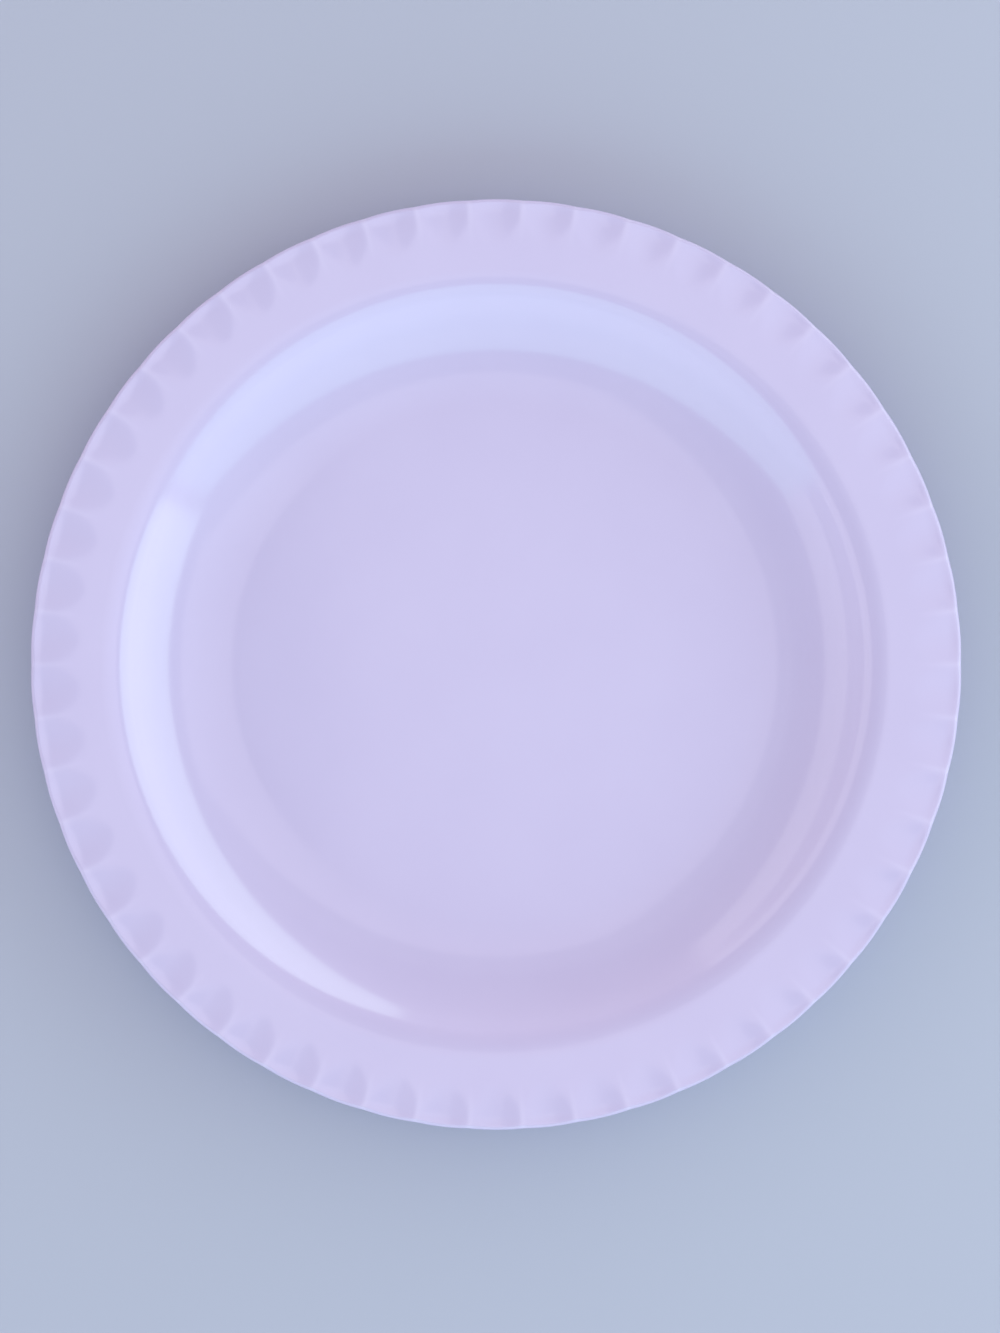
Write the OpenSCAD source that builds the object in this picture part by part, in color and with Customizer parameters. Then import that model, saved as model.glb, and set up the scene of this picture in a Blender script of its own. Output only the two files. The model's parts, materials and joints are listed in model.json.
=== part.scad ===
// Round melamine serving platter with a coved well, a broad rim and a fluted edge.
// The body is pressed in one piece with its foot ring. A thin glaze covers the whole eating face.
// The platter stands on z = 0 and its axis is Z.

/* [Platter] */
// Diameter over the edge
platter_d = 305; // [260:1:360]
// Thickness of the platter with its glaze
wall_t = 3; // [2.4:0.1:4]
// Thickness of the glaze on the eating face
glaze_t = 0.3; // [0.2:0.05:0.6]

/* [Rim] */
// Width of the rim, from the end of the shoulder out to the edge
rim_w = 22.5; // [18:0.5:35]
// Rise of the rim towards the edge, in degrees
rim_slope = 6; // [0:0.5:15]

/* [Well] */
// Radius of the shoulder that turns the rim down into the wall
shoulder_r = 15; // [8:0.5:25]
// Slope of the wall where it is steepest, in degrees
wall_slope = 45; // [30:1:60]
// Straight stretch of the wall between shoulder and cove
wall_len = 3; // [0.5:0.5:15]
// Radius of the cove that turns the wall into the floor
cove_r = 44; // [15:1:60]

/* [Fluted edge] */
// Number of flutes round the edge
flute_count = 54; // [30:1:80]
// Length of a flute along the rim
flute_len = 13; // [8:0.5:16]
// Depth that a flute would have at the edge if it did not close up
flute_depth = 1.2; // [0.6:0.1:1.6]
// Width of the crest between two such flutes at the edge
crest_w = 0.8; // [0.4:0.1:3]
// Distance from the edge at which the flutes begin to close up again
lip_w = 3; // [2.5:0.1:6]
// Slope of a flute's closing end against its floor, in degrees
lip_slope = 15; // [5:1:30]

/* [Foot ring] */
// Distance of the ring's standing face in from the edge of the floor
foot_inset = 5; // [4:0.5:20]
// Height of the ring under the floor
foot_h = 2.2; // [1.8:0.1:5]
// Width of the face that the ring stands on
foot_w = 2.4; // [1.2:0.1:6]
// Draft of the ring's sides, in degrees
foot_draft = 20; // [5:1:35]
// Rounding of the ring's lower edges
foot_edge_r = 0.6; // [0.2:0.1:0.8]
// Fillet between the ring and the floor's underside
foot_root_r = 0.8; // [0.3:0.1:1]

/* [Hidden] */

$fn = 180;
// Largest gap between a round stretch of the outline and the chords that draw it
chord_gap = 0.02;
// How far a cutting shape runs past what it cuts
overrun = 5;

body_colour = [0.80, 0.78, 0.90];
glaze_colour = [0.85, 0.83, 0.95];

// Height of the floor and radii of the places where the section changes direction
floor_z = foot_h + wall_t;
edge_r = platter_d / 2;
lip_r = wall_t / 2;
shoulder_in_r = edge_r - rim_w;
wall_out_r = shoulder_in_r - shoulder_r * (sin(wall_slope) - sin(rim_slope));
wall_in_r = wall_out_r - wall_len * cos(wall_slope);
floor_r = wall_in_r - cove_r * sin(wall_slope);

// Drop from the rim's inner end to the floor
well_depth = cove_r * (1 - cos(wall_slope))
    + wall_len * sin(wall_slope)
    + shoulder_r * (cos(rim_slope) - cos(wall_slope));

// Directions along the rim and square to it, and the centres of the section's arcs
along = [cos(rim_slope), sin(rim_slope)];
up = [-sin(rim_slope), cos(rim_slope)];
cove_c = [floor_r, floor_z + cove_r];
shoulder_c = [shoulder_in_r, floor_z + well_depth] - shoulder_r * up;
rim_len = (edge_r - lip_r - (shoulder_c + (shoulder_r - lip_r) * up).x) / along.x;
lip_c = shoulder_c + (shoulder_r - lip_r) * up + rim_len * along;
rim_end = lip_c + lip_r * up;

// A flute is cut by a round bar that sinks below the rim's face towards the edge
crest_turn = crest_w / rim_end.x * 180 / PI;
flute_half_turn = 180 / flute_count - crest_turn / 2;
flute_half_w = rim_end.x * sin(flute_half_turn);
flute_bar_r = (flute_half_w ^ 2 + flute_depth ^ 2) / (2 * flute_depth);
flute_tilt = atan(flute_depth / flute_len);
// Half of the turn that one cutter takes up, short of its neighbour's
cutter_half_turn = 180 / flute_count - crest_turn / 4;

// Foot ring: middle of its standing face, and where its outer side ends and its root begins
foot_r = floor_r - foot_inset - foot_w / 2;
foot_side = [
    foot_r + foot_w / 2 + foot_edge_r * cos(foot_draft),
    foot_edge_r * (1 - sin(foot_draft))];
foot_root_z = foot_h - foot_root_r;
foot_root_c = [
    foot_side.x + (foot_root_z - foot_side.y) * tan(foot_draft) + foot_root_r / cos(foot_draft),
    foot_root_z];

// Points along an arc, close enough together for the chord gap
function arc(centre, r, from, to) =
    let (count = max(2, ceil(abs(to - from) / (2 * acos(1 - chord_gap / r)))))
    [for (i = [0 : count])
        let (a = from + (to - from) * i / count)
        centre + r * [cos(a), sin(a)]];

// Eating face from the axis to the rim, at a depth below the finished surface
function face(depth) = concat(
    [[0, floor_z - depth]],
    arc(cove_c, cove_r + depth, -90, wall_slope - 90),
    arc(shoulder_c, shoulder_r - depth, 90 + wall_slope, 90 + rim_slope));

// Full round of the edge, from that depth down to the underside
function lip(depth) =
    arc(lip_c, lip_r, rim_slope + asin(1 - depth / lip_r), rim_slope - 90);

// Outer half of the drafted foot ring, from its root to the middle of its standing face
function foot_outer() = concat(
    arc(foot_root_c, foot_root_r, 90, 180 - foot_draft),
    arc([foot_r + foot_w / 2, foot_edge_r], foot_edge_r, -foot_draft, -90));

// The whole ring: the inner half mirrors the outer one
function foot() =
    let (outer = foot_outer(), last = len(outer) - 1)
    concat(outer, [for (i = [last : -1 : 0]) [2 * foot_r - outer[i].x, outer[i].y]]);

// Underside from the edge back to the axis, parallel to the eating face
function underside() = concat(
    arc(shoulder_c, shoulder_r - wall_t, 90 + rim_slope, 90 + wall_slope),
    arc(cove_c, cove_r + wall_t, wall_slope - 90, -90),
    foot(),
    [[0, foot_h]]);

function section(depth) = concat(face(depth), lip(depth), underside());

// Everything below the glaze, carried on past the edge and the underside
function backing() =
    let (past_edge = shoulder_c + (shoulder_r - glaze_t) * up + (rim_len + lip_r + overrun) * along)
    concat(face(glaze_t), [past_edge, [past_edge.x, -overrun], [0, -overrun]]);

// Plan of the share of the edge that one flute has
module flute_share() {
    start = rim_end.x - flute_len - overrun;
    reach = edge_r + overrun;
    side = [cos(cutter_half_turn), sin(cutter_half_turn)];
    other_side = [side.x, -side.y];
    polygon([start * other_side, reach * other_side, reach * side, start * side]);
}

// Round bar along Z that narrows from the flute's closing end on
module flute_bar(r) {
    closing = lip_r - lip_w;
    start = -flute_len - overrun;
    reach = lip_r + overrun;
    rotate_extrude()
        polygon([
            [0, start],
            [r, start],
            [r, closing],
            [r - (reach - closing) * tan(lip_slope), reach],
            [0, reach]]);
}

// Cutter of one flute, at a depth below the finished surface
module flute(depth) {
    intersection() {
        translate([rim_end.x, 0, rim_end.y])
            rotate([0, flute_tilt - rim_slope, 0])
            translate([0, 0, flute_bar_r - flute_depth * cos(flute_tilt)])
            rotate([0, 90, 0])
            flute_bar(flute_bar_r + depth);
        linear_extrude(rim_end.y + overrun)
            flute_share();
    }
}

// One copy for each flute, with a crest on the X axis
module round_the_edge() {
    for (i = [0 : flute_count - 1])
        rotate([0, 0, (i + 0.5) * 360 / flute_count])
        children();
}

// A turned section with the flutes cut into its rim, at a depth below the finished surface
module fluted(outline, depth) {
    difference() {
        rotate_extrude()
            polygon(outline);
        round_the_edge()
            flute(depth);
    }
}

module moulded_body() {
    color(body_colour)
        fluted(section(glaze_t), glaze_t);
}

module face_glaze() {
    color(glaze_colour)
        difference() {
            fluted(section(0), 0);
            fluted(backing(), glaze_t);
        }
}

moulded_body();
face_glaze();
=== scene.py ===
"""Looks of a round melamine serving platter with a fluted edge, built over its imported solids.

Lengths are in metres and angles in radians. The platter stands on z = 0 and its axis is Z.
"""

import json
import logging
import math
from dataclasses import dataclass
from enum import Enum
from functools import cached_property

import bpy
import numpy as np
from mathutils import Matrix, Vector


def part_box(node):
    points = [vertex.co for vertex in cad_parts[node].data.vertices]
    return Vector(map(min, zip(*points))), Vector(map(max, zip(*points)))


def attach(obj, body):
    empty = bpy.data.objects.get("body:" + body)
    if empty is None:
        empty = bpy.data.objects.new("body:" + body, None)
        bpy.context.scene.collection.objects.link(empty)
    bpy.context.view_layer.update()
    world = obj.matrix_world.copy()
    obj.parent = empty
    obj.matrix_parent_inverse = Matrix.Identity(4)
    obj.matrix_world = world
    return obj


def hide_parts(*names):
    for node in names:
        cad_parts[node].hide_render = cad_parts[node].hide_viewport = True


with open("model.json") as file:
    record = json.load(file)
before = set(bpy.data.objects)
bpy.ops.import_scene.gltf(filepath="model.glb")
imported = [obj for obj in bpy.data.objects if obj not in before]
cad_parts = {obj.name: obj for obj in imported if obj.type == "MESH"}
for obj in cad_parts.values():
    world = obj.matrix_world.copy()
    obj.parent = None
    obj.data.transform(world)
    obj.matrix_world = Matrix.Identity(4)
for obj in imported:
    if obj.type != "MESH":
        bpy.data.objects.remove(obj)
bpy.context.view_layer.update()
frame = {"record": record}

MM = 0.001
QUARTER_TURN = math.pi / 2.0
RUB = "rub"
LOG = logging.getLogger("platter")


class Layer(Enum):
    """The two layers of the platter, each with the solid that it stands for and its material slot."""

    GLAZE = ("platter_face", "face_glaze", "glaze")
    BODY = ("platter_body", "moulded_body", "body")

    @property
    def piece(self) -> str:
        """Name of the layer's mesh."""
        return self.value[0]

    @property
    def node(self) -> str:
        """Name of the solid that the mesh stands for."""
        return self.value[1]

    @property
    def slot(self) -> str:
        """Name of the record's material slot."""
        return self.value[2]


def arc(centre: np.ndarray, radius: float, start: float, end: float, steps: int) -> np.ndarray:
    """Points on a circle: the centre plus the radius, turned evenly from the start angle to the end.

    Args:
        centre: Radius and height of the circle's centre.
        radius: The circle's own radius.
        start: Angle of the first point.
        end: Angle of the last point.
        steps: Number of equal steps between them.

    Returns:
        An array of steps + 1 points, each a radius from the axis and a height.
    """
    turn = np.linspace(start, end, steps + 1)
    return centre + radius * np.stack([np.cos(turn), np.sin(turn)], axis=-1)


def soft_min(first: np.ndarray, second: np.ndarray, blend: np.ndarray | float) -> np.ndarray:
    """The smaller of two heights, less a parabola where they differ by less than the blend.

    Args:
        first: One set of heights.
        second: The other set.
        blend: Difference at which the rounding between them starts.

    Returns:
        The smaller heights, rounded where the two cross.
    """
    share = np.clip(1.0 - np.abs(first - second) / blend, 0.0, 1.0)
    return np.minimum(first, second) - blend * share**2 / 4.0


@dataclass(frozen=True)
class Section:
    """Turned section of the platter: floor, cove, wall, shoulder, rim and foot ring."""

    edge_r: float
    floor_z: float
    foot_r: float
    wall_t: float = 3.0 * MM
    glaze_t: float = 0.3 * MM
    rim_w: float = 22.5 * MM
    rim_slope: float = math.radians(6.0)
    shoulder_r: float = 15.0 * MM
    wall_slope: float = math.radians(45.0)
    wall_len: float = 3.0 * MM
    cove_r: float = 44.0 * MM
    foot_w: float = 2.4 * MM
    foot_draft: float = math.radians(20.0)
    foot_edge_r: float = 0.6 * MM
    foot_root_r: float = 0.8 * MM

    @cached_property
    def rim_up(self) -> np.ndarray:
        """Direction square to the rim's face."""
        return np.array([-math.sin(self.rim_slope), math.cos(self.rim_slope)])

    @cached_property
    def foot_h(self) -> float:
        """Height of the floor's underside, which the foot ring carries."""
        return self.floor_z - self.wall_t

    @cached_property
    def floor_r(self) -> float:
        """Radius of the flat floor: the edge less the rim and the runs of shoulder, wall and cove."""
        shoulder_run = self.shoulder_r * (math.sin(self.wall_slope) - math.sin(self.rim_slope))
        wall_run = self.wall_len * math.cos(self.wall_slope)
        cove_run = self.cove_r * math.sin(self.wall_slope)
        return self.edge_r - self.rim_w - shoulder_run - wall_run - cove_run

    @cached_property
    def cove_c(self) -> np.ndarray:
        """Centre of the cove's arc, above the floor's edge."""
        return np.array([self.floor_r, self.floor_z + self.cove_r])

    @cached_property
    def shoulder_c(self) -> np.ndarray:
        """Centre of the shoulder's arc, below the rim's inner end."""
        cove_rise = self.cove_r * (1.0 - math.cos(self.wall_slope))
        wall_rise = self.wall_len * math.sin(self.wall_slope)
        shoulder_rise = self.shoulder_r * (math.cos(self.rim_slope) - math.cos(self.wall_slope))
        rim_start = np.array([
            self.edge_r - self.rim_w,
            self.floor_z + cove_rise + wall_rise + shoulder_rise,
        ])
        return rim_start - self.shoulder_r * self.rim_up

    @cached_property
    def rim_end(self) -> np.ndarray:
        """Place on the rim's face where the round of a full-thickness edge begins."""
        lip_r = self.wall_t / 2.0
        on_face = self.shoulder_c + self.shoulder_r * self.rim_up
        run = self.edge_r - lip_r + lip_r * self.rim_up[0] - on_face[0]
        return on_face + run * np.array([1.0, math.tan(self.rim_slope)])

    def rim_height(self, radius: np.ndarray, depth: float) -> np.ndarray:
        """Height of the plain rim: a cone through the rim's end, lowered square to its face.

        Args:
            radius: Distances from the axis.
            depth: How far the cone lies under the finished face.

        Returns:
            The cone's height at each radius.
        """
        cone = self.rim_end[1] + (radius - self.rim_end[0]) * math.tan(self.rim_slope)
        return cone - depth / math.cos(self.rim_slope)

    def upper_side(self, depth: float, rings: int, cove_steps: int, shoulder_steps: int) -> np.ndarray:
        """Floor, cove, wall and shoulder from the axis outwards, at a depth under the finished face.

        The floor is level. The cove is a circle's lowest stretch, the shoulder another's top, and the
        wall is the straight line between the two.

        Args:
            depth: How far the surface lies under the finished face.
            rings: Number of equal steps across the floor.
            cove_steps: Number of steps along the cove.
            shoulder_steps: Number of steps along the shoulder.

        Returns:
            Points as radius and height, from the first ring to the rim's inner end.
        """
        radii = self.floor_r * np.arange(1, rings) / rings
        floor = np.stack([radii, np.full(rings - 1, self.floor_z - depth)], axis=-1)
        cove_end = self.wall_slope - QUARTER_TURN
        cove = arc(self.cove_c, self.cove_r + depth, -QUARTER_TURN, cove_end, cove_steps)
        shoulder = arc(self.shoulder_c, self.shoulder_r - depth, QUARTER_TURN + self.wall_slope,
                       QUARTER_TURN + self.rim_slope, shoulder_steps)
        return np.concatenate([floor, cove, shoulder])

    def foot_half(self, side_steps: int) -> np.ndarray:
        """Outer half of the foot ring: a root fillet, a drafted side and a rounded lower edge.

        Args:
            side_steps: Number of steps along each of the two arcs.

        Returns:
            Points as radius and height, from the floor's underside down to the standing face.
        """
        edge_c = np.array([self.foot_r + self.foot_w / 2.0, self.foot_edge_r])
        side_r = edge_c[0] + self.foot_edge_r * math.cos(self.foot_draft)
        side_z = edge_c[1] - self.foot_edge_r * math.sin(self.foot_draft)
        root_z = self.foot_h - self.foot_root_r
        root_r = side_r + (root_z - side_z) * math.tan(self.foot_draft)
        root_c = np.array([root_r + self.foot_root_r / math.cos(self.foot_draft), root_z])
        root = arc(root_c, self.foot_root_r, QUARTER_TURN, math.pi - self.foot_draft, side_steps)
        edge = arc(edge_c, self.foot_edge_r, -self.foot_draft, -QUARTER_TURN, side_steps)
        return np.concatenate([root, edge])

    def under_side(self, shoulder_steps: int, cove_steps: int, side_steps: int,
                   rings: int) -> np.ndarray:
        """Underside from the rim's inner end back to the axis, parallel to the eating face.

        The inner half of the foot ring is its outer half, mirrored about the ring's middle radius.

        Args:
            shoulder_steps: Number of steps along the shoulder.
            cove_steps: Number of steps along the cove.
            side_steps: Number of steps along each arc of the foot ring.
            rings: Number of equal steps across the floor inside the ring.

        Returns:
            Points as radius and height.
        """
        upper = self.upper_side(self.wall_t, 1, cove_steps, shoulder_steps)
        outer = self.foot_half(side_steps)
        inner = outer[::-1] * [-1.0, 1.0] + [2.0 * self.foot_r, 0.0]
        radii = inner[-1, 0] * np.arange(rings - 1, 0, -1) / rings
        floor = np.stack([radii, np.full(rings - 1, self.foot_h)], axis=-1)
        return np.concatenate([upper[::-1], outer, inner, floor])


@dataclass(frozen=True)
class Lip:
    """Circles that round the edge, one for each column of the mesh."""

    centre_r: np.ndarray
    centre_z: np.ndarray
    radius: np.ndarray
    start: np.ndarray
    seam: np.ndarray
    end: np.ndarray

    def rows(self, start: np.ndarray, end: np.ndarray, steps: int) -> np.ndarray:
        """Rows of points along the circles, from one set of angles to another in equal steps.

        Args:
            start: Angle of the first row in each column.
            end: Angle of the last row in each column.
            steps: Number of steps.

        Returns:
            An array of rows by columns by radius and height.
        """
        share = np.linspace(0.0, 1.0, steps + 1)[:, None]
        angle = start + share * (end - start)
        return np.stack([self.centre_r + self.radius * np.cos(angle),
                         self.centre_z + self.radius * np.sin(angle)], axis=-1)


@dataclass(frozen=True)
class FlutedEdge:
    """Ring of flutes pressed into the rim, with the lobed outline and the round lip that end it."""

    section: Section
    count: int = 54
    length: float = 13.0 * MM
    depth: float = 1.2 * MM
    crest_w: float = 0.8 * MM
    lip_w: float = 3.0 * MM
    lip_slope: float = math.radians(15.0)
    lobe_r: float = 72.0 * MM
    crest_blend: float = 0.90 * MM
    fade_blend: float = 0.20 * MM
    lip_blend: float = 1.2 * MM
    crest_rub_w: float = 0.9 * MM
    lip_passes: int = 6
    slope_step: float = 0.1 * MM

    @cached_property
    def pitch(self) -> float:
        """Turn from one flute to the next."""
        return 2.0 * math.pi / self.count

    @cached_property
    def half_turn(self) -> float:
        """Half of the turn that one flute takes up at the edge."""
        return (self.pitch - self.crest_w / self.section.rim_end[0]) / 2.0

    @cached_property
    def tilt(self) -> float:
        """Angle at which a flute sinks below the rim's face."""
        return math.atan(self.depth / self.length)

    @cached_property
    def bar_r(self) -> float:
        """Radius of a flute's hollow: a circle through both crests and the flute's lowest line."""
        half_w = self.section.rim_end[0] * math.sin(self.half_turn)
        return (half_w**2 + self.depth**2) / (2.0 * self.depth)

    def columns(self, per_half: int, crowding: float) -> np.ndarray:
        """Angles of the mesh's columns: a power law from each crest to each flute's middle.

        Args:
            per_half: Number of columns from a crest to the middle of a flute.
            crowding: The power. Above 1 it crowds the columns at the crests.

        Returns:
            Angles round the axis, from the crest on the X axis.
        """
        rise = (np.arange(per_half + 1) / per_half) ** crowding / 2.0
        shares = np.concatenate([rise, 1.0 - rise[-2:0:-1]])
        turns = (np.arange(self.count)[:, None] + shares) * self.pitch
        return turns.ravel()

    def across(self, turn: np.ndarray) -> np.ndarray:
        """Angles measured from the middle of the nearest flute.

        Args:
            turn: Angles round the axis.

        Returns:
            Angles from minus half a pitch to half a pitch.
        """
        return turn % self.pitch - self.pitch / 2.0

    def outward(self, radius: np.ndarray) -> np.ndarray:
        """Way along a flute: 0 where it starts, 1 where the lip's round begins, and even between.

        Args:
            radius: Distances from the axis.

        Returns:
            Shares from 0 to 1.
        """
        return np.clip(1.0 + (radius - self.section.rim_end[0]) / self.length, 0.0, 1.0)

    def bar_height(self, radius: np.ndarray, across: np.ndarray, depth: float) -> np.ndarray:
        """Height of the round bar that presses one flute.

        Across the flute this is the height of a circle, and along it the height rises at the rim's
        slope less the flute's tilt. Near the edge the bar narrows, so that the flute closes up again at
        the lip.

        Args:
            radius: Distances from the axis.
            across: Angles from the middle of the flute.
            depth: How far the surface lies under the finished face.

        Returns:
            Heights at those places.
        """
        rise = self.section.rim_slope - self.tilt
        along = radius * np.cos(across) - self.section.rim_end[0]
        side = radius * np.sin(across)
        sink = self.bar_r - self.depth * math.cos(self.tilt)
        closing = along - self.section.wall_t / 2.0 + self.lip_w
        past_closing = -soft_min(np.zeros_like(closing), -closing, self.lip_blend)
        narrowing = past_closing * math.tan(self.lip_slope)
        circle = sink - np.sqrt((self.bar_r + depth - narrowing) ** 2 - side**2)
        return self.section.rim_end[1] + along * math.tan(rise) + circle / math.cos(rise)

    def height(self, radius: np.ndarray, turn: np.ndarray, depth: float) -> np.ndarray:
        """Height of the fluted rim: the lowest of the rim's cone and the two nearest bars.

        They are softly joined, and more softly towards the edge.

        Args:
            radius: Distances from the axis.
            turn: Angles round the axis.
            depth: How far the surface lies under the finished face.

        Returns:
            Heights at those places.
        """
        across = np.abs(self.across(turn))
        near = self.bar_height(radius, across, depth)
        beside = self.bar_height(radius, self.pitch - across, depth)
        blend = self.fade_blend + (self.crest_blend - self.fade_blend) * self.outward(radius)
        bars = soft_min(near, beside, blend)
        return soft_min(self.section.rim_height(radius, depth), bars, blend)

    def outline(self, turn: np.ndarray) -> np.ndarray:
        """Radius of the outline: each flute's lobe is a circle that touches the edge from inside.

        Args:
            turn: Angles round the axis.

        Returns:
            The outline's radius at each angle.
        """
        across = self.across(turn)
        centre = self.section.edge_r - self.lobe_r
        reach = np.sqrt(self.lobe_r**2 - (centre * np.sin(across)) ** 2)
        return centre * np.cos(across) + reach

    def lip(self, turn: np.ndarray) -> Lip:
        """Round of the edge: at each angle the circle that touches face, underside and outline.

        The circle's radius is the gap between face and underside at its centre, shared out by the
        two slopes. Centre and radius depend on each other, so they are worked out in a few passes.

        Args:
            turn: Angles round the axis.

        Returns:
            The circles.
        """
        outline = self.outline(turn)
        radius = np.full_like(turn, self.section.wall_t / 2.0)
        step = self.slope_step
        for _ in range(self.lip_passes):
            centre_r = outline - radius
            top = self.height(centre_r, turn, 0.0)
            slope = np.arctan((top - self.height(centre_r - step, turn, 0.0)) / step)
            gap = top - self.section.rim_height(centre_r, self.section.wall_t)
            radius = gap / (1.0 / np.cos(slope) + 1.0 / math.cos(self.section.rim_slope))
        centre_z = top - radius / np.cos(slope)
        start = QUARTER_TURN + slope
        seam = start - np.arccos(1.0 - self.section.glaze_t / radius)
        end = np.full_like(turn, self.section.rim_slope - QUARTER_TURN)
        return Lip(centre_r, centre_z, radius, start, seam, end)

    def rub(self, radius: np.ndarray, turn: np.ndarray) -> np.ndarray:
        """How much each place on the rim is rubbed: most along the crests, and more towards the edge.

        Args:
            radius: Distances from the axis.
            turn: Angles round the axis.

        Returns:
            Values from 0 to 1: a bell curve of the distance to the crest, times the way along the flute.
        """
        off_crest = radius * np.sin(self.pitch / 2.0 - np.abs(self.across(turn)))
        return np.exp(-((off_crest / self.crest_rub_w) ** 2)) * self.outward(radius)


@dataclass(frozen=True)
class Platter:
    """The pressed platter: a glaze over the whole eating face and the body under it."""

    section: Section
    edge: FlutedEdge
    columns_per_half: int = 7
    crowding: float = 1.5
    floor_rings: int = 4
    cove_steps: int = 30
    shoulder_steps: int = 18
    flute_steps: int = 28
    lip_steps: int = 6
    hidden_cove_steps: int = 12
    hidden_shoulder_steps: int = 8
    hidden_flute_steps: int = 10
    under_lip_steps: int = 14
    under_rim_steps: int = 3
    foot_steps: int = 5
    foot_rub_h: float = 0.25 * MM
    crease: float = math.radians(40.0)

    @classmethod
    def on_frame(cls, record: dict) -> "Platter":
        """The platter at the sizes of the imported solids.

        Args:
            record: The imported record, whose mounts give the floor and the foot ring.

        Returns:
            The platter.
        """
        places = {mount["name"]: mount["pos_m"] for mount in record["mounts"]}
        section = Section(
            edge_r=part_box(Layer.BODY.node)[1].y,
            floor_z=places["well_floor"][2],
            foot_r=places["foot_face"][0],
        )
        return cls(section, FlutedEdge(section))

    @cached_property
    def turns(self) -> np.ndarray:
        """Angles of the mesh's columns."""
        return self.edge.columns(self.columns_per_half, self.crowding)

    @cached_property
    def lip(self) -> Lip:
        """Round of the edge at each column."""
        return self.edge.lip(self.turns)

    def all_round(self, profile: np.ndarray) -> np.ndarray:
        """The same points of a profile in every column.

        Args:
            profile: Points as radius and height.

        Returns:
            An array of rows by columns by radius and height.
        """
        return np.repeat(profile[:, None, :], self.turns.size, axis=1)

    def fluted_rows(self, start_r: float, end_r: np.ndarray, depth: float, steps: int) -> np.ndarray:
        """Rows of the fluted rim, in equal steps of radius from its inner end to the lip.

        Args:
            start_r: Radius of the rim's inner end.
            end_r: Radius at which each column meets the lip.
            depth: How far the surface lies under the finished face.
            steps: Number of steps. The rows at both ends belong to the neighbours.

        Returns:
            An array of rows by columns by radius and height.
        """
        share = np.linspace(0.0, 1.0, steps + 1)[1:-1, None]
        radius = start_r + share * (end_r - start_r)
        return np.stack([radius, self.edge.height(radius, self.turns, depth)], axis=-1)

    def seam_rows(self) -> np.ndarray:
        """Rows of the surface between glaze and body, from the axis out to the lip's seam."""
        plain = self.section.upper_side(self.section.glaze_t, 2, self.hidden_cove_steps,
                                        self.hidden_shoulder_steps)
        end_r = self.lip.centre_r + self.lip.radius * np.cos(self.lip.seam)
        fluted = self.fluted_rows(plain[-1, 0], end_r, self.section.glaze_t, self.hidden_flute_steps)
        return np.concatenate([self.all_round(plain), fluted])

    def glaze_rows(self) -> np.ndarray:
        """Rows of the glaze: out along the eating face, over the lip and back along the seam."""
        plain = self.section.upper_side(0.0, self.floor_rings, self.cove_steps, self.shoulder_steps)
        end_r = self.lip.centre_r + self.lip.radius * np.cos(self.lip.start)
        fluted = self.fluted_rows(plain[-1, 0], end_r, 0.0, self.flute_steps)
        over_lip = self.lip.rows(self.lip.start, self.lip.seam, self.lip_steps)
        return np.concatenate([self.all_round(plain), fluted, over_lip, self.seam_rows()[::-1]])

    def body_rows(self) -> np.ndarray:
        """Rows of the body: out along the seam, round the lip and back along the underside."""
        round_lip = self.lip.rows(self.lip.seam, self.lip.end, self.under_lip_steps)
        under = self.all_round(self.section.under_side(
            self.shoulder_steps, self.cove_steps, self.foot_steps, self.floor_rings))
        share = np.linspace(0.0, 1.0, self.under_rim_steps + 1)[1:-1, None, None]
        under_rim = round_lip[-1] + share * (under[0] - round_lip[-1])
        return np.concatenate([self.seam_rows(), round_lip, under_rim, under])

    def closed_mesh(self, name: str, rows: np.ndarray) -> bpy.types.Mesh:
        """Closed skin over rows of points, with a fan of triangles at each pole on the axis.

        Each point's place is its radius turned by its column's angle, and its height. The rows run
        outwards above and inwards below, so that every face points out of the solid.

        Args:
            name: The mesh's name.
            rows: An array of rows by columns by radius and height.

        Returns:
            The mesh, smooth but for its creases, with a value for rubbing at each vertex.
        """
        count, width = rows.shape[:2]
        radius, height = rows[..., 0], rows[..., 1]
        ring = np.stack([radius * np.cos(self.turns), radius * np.sin(self.turns), height], axis=-1)
        poles = np.array([[0.0, 0.0, height[0, 0]], [0.0, 0.0, height[-1, 0]]])
        places = np.concatenate([ring.reshape(-1, 3), poles])

        near = np.arange(width)
        far = (near + 1) % width
        starts = np.arange(count - 1)[:, None] * width
        after = starts + width
        quads = np.stack([starts + near, after + near, after + far, starts + far], axis=-1)
        top = np.stack([np.full(width, count * width), near, far], axis=-1)
        last = (count - 1) * width
        bottom = np.stack([np.full(width, count * width + 1), last + far, last + near], axis=-1)

        mesh = bpy.data.meshes.new(name)
        faces = quads.reshape(-1, 4).tolist() + top.tolist() + bottom.tolist()
        mesh.from_pydata(places, [], faces, shade_flat=False)
        mesh.set_sharp_from_angle(angle=self.crease)

        above = height > self.section.rim_height(radius, self.section.wall_t / 2.0)
        crest_rub = np.where(above, self.edge.rub(radius, self.turns), 0.0)
        foot_rub = np.exp(-((height / self.foot_rub_h) ** 2))
        rub = np.concatenate([np.maximum(crest_rub, foot_rub).ravel(), np.zeros(2)])
        attribute = mesh.attributes.new(RUB, "FLOAT", "POINT")
        attribute.data.foreach_set("value", rub.astype(np.float32))
        return mesh

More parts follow.
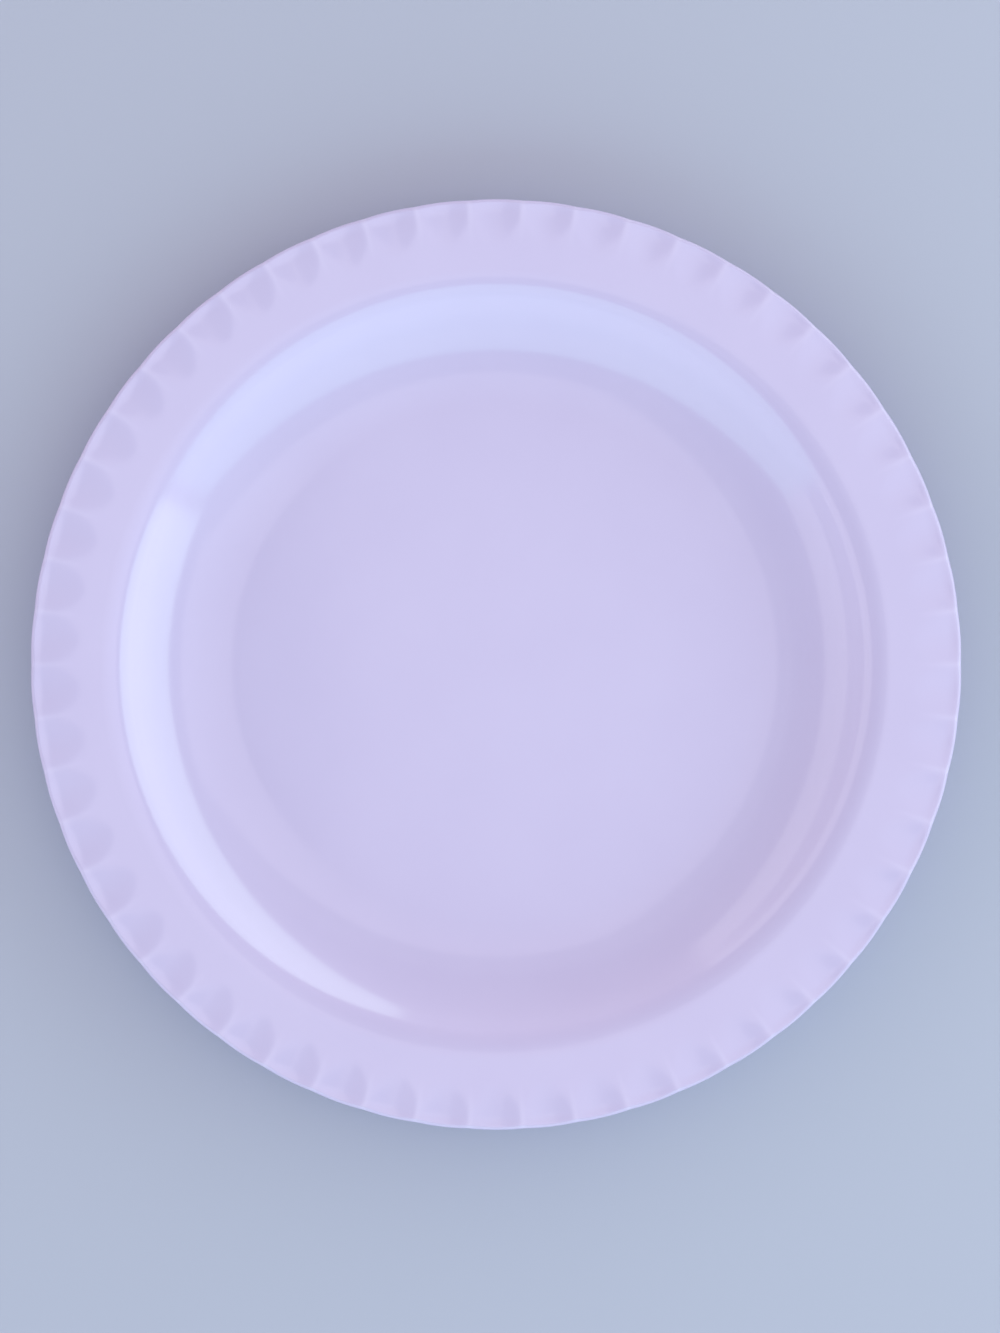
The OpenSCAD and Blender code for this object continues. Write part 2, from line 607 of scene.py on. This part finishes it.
    def build(self, layer: Layer) -> bpy.types.Object:
        """Makes one layer's piece and seats it on the frame.

        Args:
            layer: Which layer to make.

        Returns:
            The piece, riding on the platter in place of its solid.
        """
        rows = self.glaze_rows() if layer is Layer.GLAZE else self.body_rows()
        piece = bpy.data.objects.new(layer.piece, self.closed_mesh(layer.piece, rows))
        bpy.context.scene.collection.objects.link(piece)
        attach(piece, "root")
        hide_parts(layer.node)
        return piece

    def dress(self, piece: bpy.types.Object, finish: "Finish", effects: "Effects") -> None:
        """Gives a piece its finish.

        Args:
            piece: The piece.
            finish: Its finish.
            effects: The shader effects that the finishes share.
        """
        piece.data.materials.append(finish.material(effects))


class Wiring:
    """Adds nodes to one shader tree and links them by socket name."""

    def __init__(self, tree: bpy.types.NodeTree) -> None:
        """Keeps the tree that the nodes go into.

        Args:
            tree: The shader tree.
        """
        self.tree = tree

    def add(self, kind: str, sockets: dict | None = None, **settings: object) -> bpy.types.Node:
        """Adds one node.

        Args:
            kind: The node's type.
            sockets: A value or an output socket for each input, by its name or its place.
            settings: The node's own properties.

        Returns:
            The node.
        """
        node = self.tree.nodes.new(kind)
        for name, value in settings.items():
            setattr(node, name, value)
        for key, value in (sockets or {}).items():
            if isinstance(value, bpy.types.NodeSocket):
                self.tree.links.new(value, node.inputs[key])
            else:
                node.inputs[key].default_value = value
        return node

    def math(self, operation: str, first: object, second: object) -> bpy.types.NodeSocket:
        """Adds a node for one sum.

        Args:
            operation: The kind of sum.
            first: A value or an output socket.
            second: Another one.

        Returns:
            The sum's result.
        """
        return self.add("ShaderNodeMath", {0: first, 1: second}, operation=operation).outputs[0]

    def noise(self, place: bpy.types.NodeSocket, scale: object, detail: float) -> bpy.types.NodeSocket:
        """Adds a noise pattern.

        Args:
            place: The coordinates to draw it on.
            scale: Its scale, as a value or an output socket.
            detail: How many finer patterns are laid over it.

        Returns:
            The pattern's value.
        """
        sockets = {"Vector": place, "Scale": scale, "Detail": detail}
        return self.add("ShaderNodeTexNoise", sockets).outputs["Fac"]

    def object_place(self) -> bpy.types.NodeSocket:
        """Adds the coordinates of the piece itself, which in a world are the direction of view.

        Returns:
            The coordinates.
        """
        return self.add("ShaderNodeTexCoord").outputs["Object"]


WAVE_DETAIL = 1.0
GRAIN_DETAIL = 2.0
PATCH_DETAIL = 4.0
PATCH_MIDDLE = 0.5
HAIRLINE_ANGLES = (0.3, 1.1, 1.9, 2.7)
HAIRLINE_STRETCH = (1.0, 0.03, 1.0)
HAIRLINE_SCALE = 1400.0
HAIRLINE_DETAIL = 1.0
HAIRLINE_PEAK = (0.66, 0.74)


class Effects:
    """Shader effects that the platter's finishes share, each a node group built once."""

    def __init__(self) -> None:
        """Builds the groups."""
        self.ripple = self.pressed_ripple()
        self.drift = self.tone_drift()
        self.wear = self.table_wear()

    @staticmethod
    def group(name: str, inputs: dict[str, str], outputs: dict[str, str]) -> tuple[Wiring, dict]:
        """Starts a node group.

        Args:
            name: The group's name.
            inputs: Kind of each input socket, by its name.
            outputs: Kind of each output socket, by its name.

        Returns:
            The group's wiring, and its inputs as sockets inside the group.
        """
        tree = bpy.data.node_groups.new(name, "ShaderNodeTree")
        for label, kind in inputs.items():
            tree.interface.new_socket(label, in_out="INPUT", socket_type=kind)
        for label, kind in outputs.items():
            tree.interface.new_socket(label, in_out="OUTPUT", socket_type=kind)
        wiring = Wiring(tree)
        return wiring, wiring.add("NodeGroupInput").outputs

    def pressed_ripple(self) -> bpy.types.NodeTree:
        """Slight unevenness of a pressed surface: broad waves plus a share of fine grain.

        Returns:
            A group that puts out a height.
        """
        value = "NodeSocketFloat"
        wiring, given = self.group(
            "pressed_ripple",
            {"Wave Scale": value, "Grain Scale": value, "Grain Share": value},
            {"Height": value},
        )
        place = wiring.object_place()
        wave = wiring.noise(place, given["Wave Scale"], WAVE_DETAIL)
        grain = wiring.noise(place, given["Grain Scale"], GRAIN_DETAIL)
        height = wiring.math("ADD", wave, wiring.math("MULTIPLY", grain, given["Grain Share"]))
        wiring.add("NodeGroupOutput", {"Height": height})
        return wiring.tree

    def tone_drift(self) -> bpy.types.NodeTree:
        """Patchy tone of filled resin, which pales where it is rubbed.

        Returns:
            A group that puts out a colour.
        """
        value, colour = "NodeSocketFloat", "NodeSocketColor"
        wiring, given = self.group(
            "tone_drift",
            {"Color": colour, "Patch Scale": value, "Drift": value, "Rub": value, "Paling": value},
            {"Color": colour},
        )
        patch = wiring.noise(wiring.object_place(), given["Patch Scale"], PATCH_DETAIL)
        shift = wiring.math("MULTIPLY", wiring.math("SUBTRACT", patch, PATCH_MIDDLE), given["Drift"])
        pale = wiring.math("MULTIPLY", given["Rub"], given["Paling"])
        change = wiring.math("ADD", shift, pale)
        toned = wiring.add("ShaderNodeHueSaturation", {
            "Color": given["Color"],
            "Saturation": wiring.math("SUBTRACT", 1.0, change),
            "Value": wiring.math("ADD", 1.0, change),
        })
        wiring.add("NodeGroupOutput", {"Color": toned.outputs["Color"]})
        return wiring.tree

    def table_wear(self) -> bpy.types.NodeTree:
        """Roughness of a used surface: hairlines that cross at several angles, and rubbed edges.

        A hairline is a noise pattern drawn out along one direction, kept only at its peaks.

        Returns:
            A group that puts out a roughness.
        """
        value = "NodeSocketFloat"
        wiring, given = self.group(
            "table_wear",
            {"Clean": value, "Hairlines": value, "Rub": value, "Rubbed": value},
            {"Roughness": value},
        )
        place = wiring.object_place()
        total = given["Clean"]
        for angle in HAIRLINE_ANGLES:
            drawn = wiring.add("ShaderNodeMapping", {
                "Vector": place,
                "Rotation": (0.0, 0.0, angle),
                "Scale": HAIRLINE_STRETCH,
            })
            streak = wiring.noise(drawn.outputs["Vector"], HAIRLINE_SCALE, HAIRLINE_DETAIL)
            peak = wiring.add("ShaderNodeMapRange", {
                "Value": streak,
                "From Min": HAIRLINE_PEAK[0],
                "From Max": HAIRLINE_PEAK[1],
            })
            mark = wiring.math("MULTIPLY", peak.outputs["Result"], given["Hairlines"])
            total = wiring.math("ADD", total, mark)
        total = wiring.math("ADD", total, wiring.math("MULTIPLY", given["Rub"], given["Rubbed"]))
        wiring.add("NodeGroupOutput", {"Roughness": total})
        return wiring.tree


@dataclass(frozen=True)
class Finish:
    """One finish of the pressed resin."""

    name: str
    colour: tuple[float, float, float]
    roughness: float
    refraction: float
    wave_height: float
    wave_scale: float
    grain_scale: float
    grain_share: float
    patch_scale: float
    drift: float
    paling: float
    hairlines: float
    rubbed: float

    def material(self, effects: Effects) -> bpy.types.Material:
        """Makes the finish as a material.

        Args:
            effects: The shader effects that the finishes share.

        Returns:
            The material.
        """
        material = bpy.data.materials.new(self.name)
        material.use_nodes = True
        wiring = Wiring(material.node_tree)
        shader = material.node_tree.nodes["Principled BSDF"]
        shader.inputs["IOR"].default_value = self.refraction

        rub = wiring.add("ShaderNodeAttribute", attribute_name=RUB).outputs["Fac"]
        tone = wiring.add("ShaderNodeGroup", node_tree=effects.drift)
        wear = wiring.add("ShaderNodeGroup", node_tree=effects.wear)
        ripple = wiring.add("ShaderNodeGroup", node_tree=effects.ripple)
        settings = {
            tone: {"Color": (*self.colour, 1.0), "Patch Scale": self.patch_scale,
                   "Drift": self.drift, "Paling": self.paling},
            wear: {"Clean": self.roughness, "Hairlines": self.hairlines, "Rubbed": self.rubbed},
            ripple: {"Wave Scale": self.wave_scale, "Grain Scale": self.grain_scale,
                     "Grain Share": self.grain_share},
        }
        for node, values in settings.items():
            for label, value in values.items():
                node.inputs[label].default_value = value
        relief = {"Height": ripple.outputs["Height"], "Distance": self.wave_height}
        bump = wiring.add("ShaderNodeBump", relief)

        links = material.node_tree.links
        links.new(rub, tone.inputs["Rub"])
        links.new(rub, wear.inputs["Rub"])
        links.new(tone.outputs["Color"], shader.inputs["Base Color"])
        links.new(wear.outputs["Roughness"], shader.inputs["Roughness"])
        links.new(bump.outputs["Normal"], shader.inputs["Normal"])
        return material


GLOSS_GLAZE = Finish(
    name="lavender_gloss_glaze",
    colour=(0.60, 0.508, 0.805),
    roughness=0.12,
    refraction=1.68,
    wave_height=0.05 * MM,
    wave_scale=40.0,
    grain_scale=900.0,
    grain_share=0.02,
    patch_scale=30.0,
    drift=0.04,
    paling=0.05,
    hairlines=0.06,
    rubbed=0.08,
)

PRESSED_RESIN = Finish(
    name="lavender_pressed_resin",
    colour=(0.58, 0.49, 0.775),
    roughness=0.30,
    refraction=1.68,
    wave_height=0.05 * MM,
    wave_scale=40.0,
    grain_scale=1200.0,
    grain_share=0.06,
    patch_scale=30.0,
    drift=0.05,
    paling=0.06,
    hairlines=0.08,
    rubbed=0.25,
)

FINISHES = {Layer.GLAZE: GLOSS_GLAZE, Layer.BODY: PRESSED_RESIN}


@dataclass(frozen=True)
class Softbox:
    """One sheet of soft light, given by its centre and the way that it faces."""

    name: str
    centre: tuple[float, float, float]
    facing: tuple[float, float, float]
    width: float
    height: float
    colour: tuple[float, float, float]
    radiance: float

    def place(self) -> None:
        """Adds the light: its power is its radiance times its area times pi."""
        light = bpy.data.lights.new(self.name, "AREA")
        light.shape = "RECTANGLE"
        light.size = self.width
        light.size_y = self.height
        light.color = self.colour
        light.energy = self.radiance * self.width * self.height * math.pi
        lamp = bpy.data.objects.new(self.name, light)
        lamp.location = self.centre
        lamp.rotation_euler = Vector(self.facing).to_track_quat("-Z", "Y").to_euler()
        lamp.visible_camera = False
        bpy.context.scene.collection.objects.link(lamp)


SOFTBOXES = (
    Softbox(
        name="right_window",
        centre=(1.0, 1.6, 0.565),
        facing=(-1.0, 0.0, 0.0),
        width=4.2,
        height=0.75,
        colour=(0.74, 1.0, 0.92),
        radiance=1.80,
    ),
    Softbox(
        name="front_window",
        centre=(0.0, -1.0, 0.45),
        facing=(0.0, 1.0, 0.0),
        width=3.5,
        height=0.50,
        colour=(0.43, 0.96, 0.96),
        radiance=0.92,
    ),
    Softbox(
        name="front_top_light",
        centre=(0.0, -1.0, 1.04),
        facing=(0.0, 1.0, 0.0),
        width=3.5,
        height=0.68,
        colour=(0.53, 0.97, 0.97),
        radiance=1.08,
    ),
    Softbox(
        name="left_window",
        centre=(-1.0, 0.43, 0.63),
        facing=(1.0, 0.0, 0.0),
        width=2.0,
        height=0.54,
        colour=(0.97, 0.95, 0.94),
        radiance=0.76,
    ),
    Softbox(
        name="overhead_light",
        centre=(0.46, 0.0, 1.5),
        facing=(0.0, 0.0, -1.0),
        width=1.30,
        height=0.9,
        colour=(1.0, 0.92, 0.98),
        radiance=0.60,
    ),
    Softbox(
        name="overhead_glow",
        centre=(0.40, 0.0, 1.6),
        facing=(0.0, 0.0, -1.0),
        width=2.0,
        height=2.0,
        colour=(1.0, 0.94, 0.98),
        radiance=0.17,
    ),
)


@dataclass(frozen=True)
class Studio:
    """Plain pale floor and soft light around the platter."""

    floor_half: float = 8.0
    floor_drop: float = 0.1 * MM
    floor_colour: tuple[float, float, float] = (0.47, 0.47, 0.63)
    floor_roughness: float = 0.7
    ambient: tuple[float, float, float] = (1.0, 1.0, 0.97)
    overhead: float = 0.42
    horizon: float = 1.0
    glow_power: float = 2.0

    def lay_floor(self) -> None:
        """Adds the floor, just under the foot ring."""
        half = self.floor_half
        corners = np.array([[-half, -half], [half, -half], [half, half], [-half, half]])
        places = np.column_stack([corners, np.full(4, -self.floor_drop)])
        mesh = bpy.data.meshes.new("studio_floor")
        mesh.from_pydata(places, [], [[0, 1, 2, 3]])
        material = bpy.data.materials.new("studio_floor")
        material.use_nodes = True
        shader = material.node_tree.nodes["Principled BSDF"]
        shader.inputs["Base Color"].default_value = (*self.floor_colour, 1.0)
        shader.inputs["Roughness"].default_value = self.floor_roughness
        mesh.materials.append(material)
        floor = bpy.data.objects.new("studio_floor", mesh)
        bpy.context.scene.collection.objects.link(floor)

    def light(self) -> None:
        """Adds the softboxes, and a world that fades upwards from the horizon by a power law."""
        for softbox in SOFTBOXES:
            softbox.place()
        world = bpy.data.worlds.new("studio_world")
        world.use_nodes = True
        wiring = Wiring(world.node_tree)
        height = wiring.add("ShaderNodeSeparateXYZ", {"Vector": wiring.object_place()}).outputs["Z"]
        below_top = wiring.math("SUBTRACT", 1.0, wiring.math("MAXIMUM", height, 0.0))
        fade = wiring.math("POWER", below_top, self.glow_power)
        glow = wiring.math("MULTIPLY", fade, self.horizon)
        background = world.node_tree.nodes["Background"]
        background.inputs["Color"].default_value = (*self.ambient, 1.0)
        strength = wiring.math("ADD", glow, self.overhead)
        world.node_tree.links.new(strength, background.inputs["Strength"])
        bpy.context.scene.world = world


@dataclass(frozen=True)
class OverheadCamera:
    """Camera straight above the platter, framed as the photograph frames it, in its pixels."""

    image_w: float = 1000.0
    image_h: float = 1333.0
    disc_x: float = 496.14
    disc_y: float = 664.47
    disc_r: float = 465.4
    stand_off: float = 0.62
    sensor: float = 36.0

    def place(self, edge_r: float, edge_z: float) -> None:
        """Adds the camera and makes it the scene's own.

        Args:
            edge_r: Radius of the platter's edge.
            edge_z: Height of the edge, at which the framing is measured.
        """
        scale = edge_r / self.disc_r
        data = bpy.data.cameras.new("overhead_camera")
        data.sensor_width = self.sensor
        data.lens = self.sensor * self.stand_off / (self.image_h * scale)
        camera = bpy.data.objects.new("overhead_camera", data)
        camera.location = (
            (self.image_w / 2.0 - self.disc_x) * scale,
            (self.disc_y - self.image_h / 2.0) * scale,
            edge_z + self.stand_off,
        )
        bpy.context.scene.collection.objects.link(camera)
        bpy.context.scene.camera = camera


def main() -> None:
    """Builds the platter, dresses it, and sets up the studio and the camera."""
    logging.basicConfig(level=logging.INFO, format="%(name)s: %(message)s")
    bpy.context.scene.view_settings.view_transform = "Standard"
    platter = Platter.on_frame(frame["record"])
    effects = Effects()
    for layer in Layer:
        piece = platter.build(layer)
        platter.dress(piece, FINISHES[layer], effects)
        LOG.info("%s stands for %s, %d faces", piece.name, layer.node, len(piece.data.polygons))
    studio = Studio()
    studio.lay_floor()
    studio.light()
    OverheadCamera().place(platter.section.edge_r, float(platter.lip.centre_z.max()))


if __name__ == "__main__":
    main()
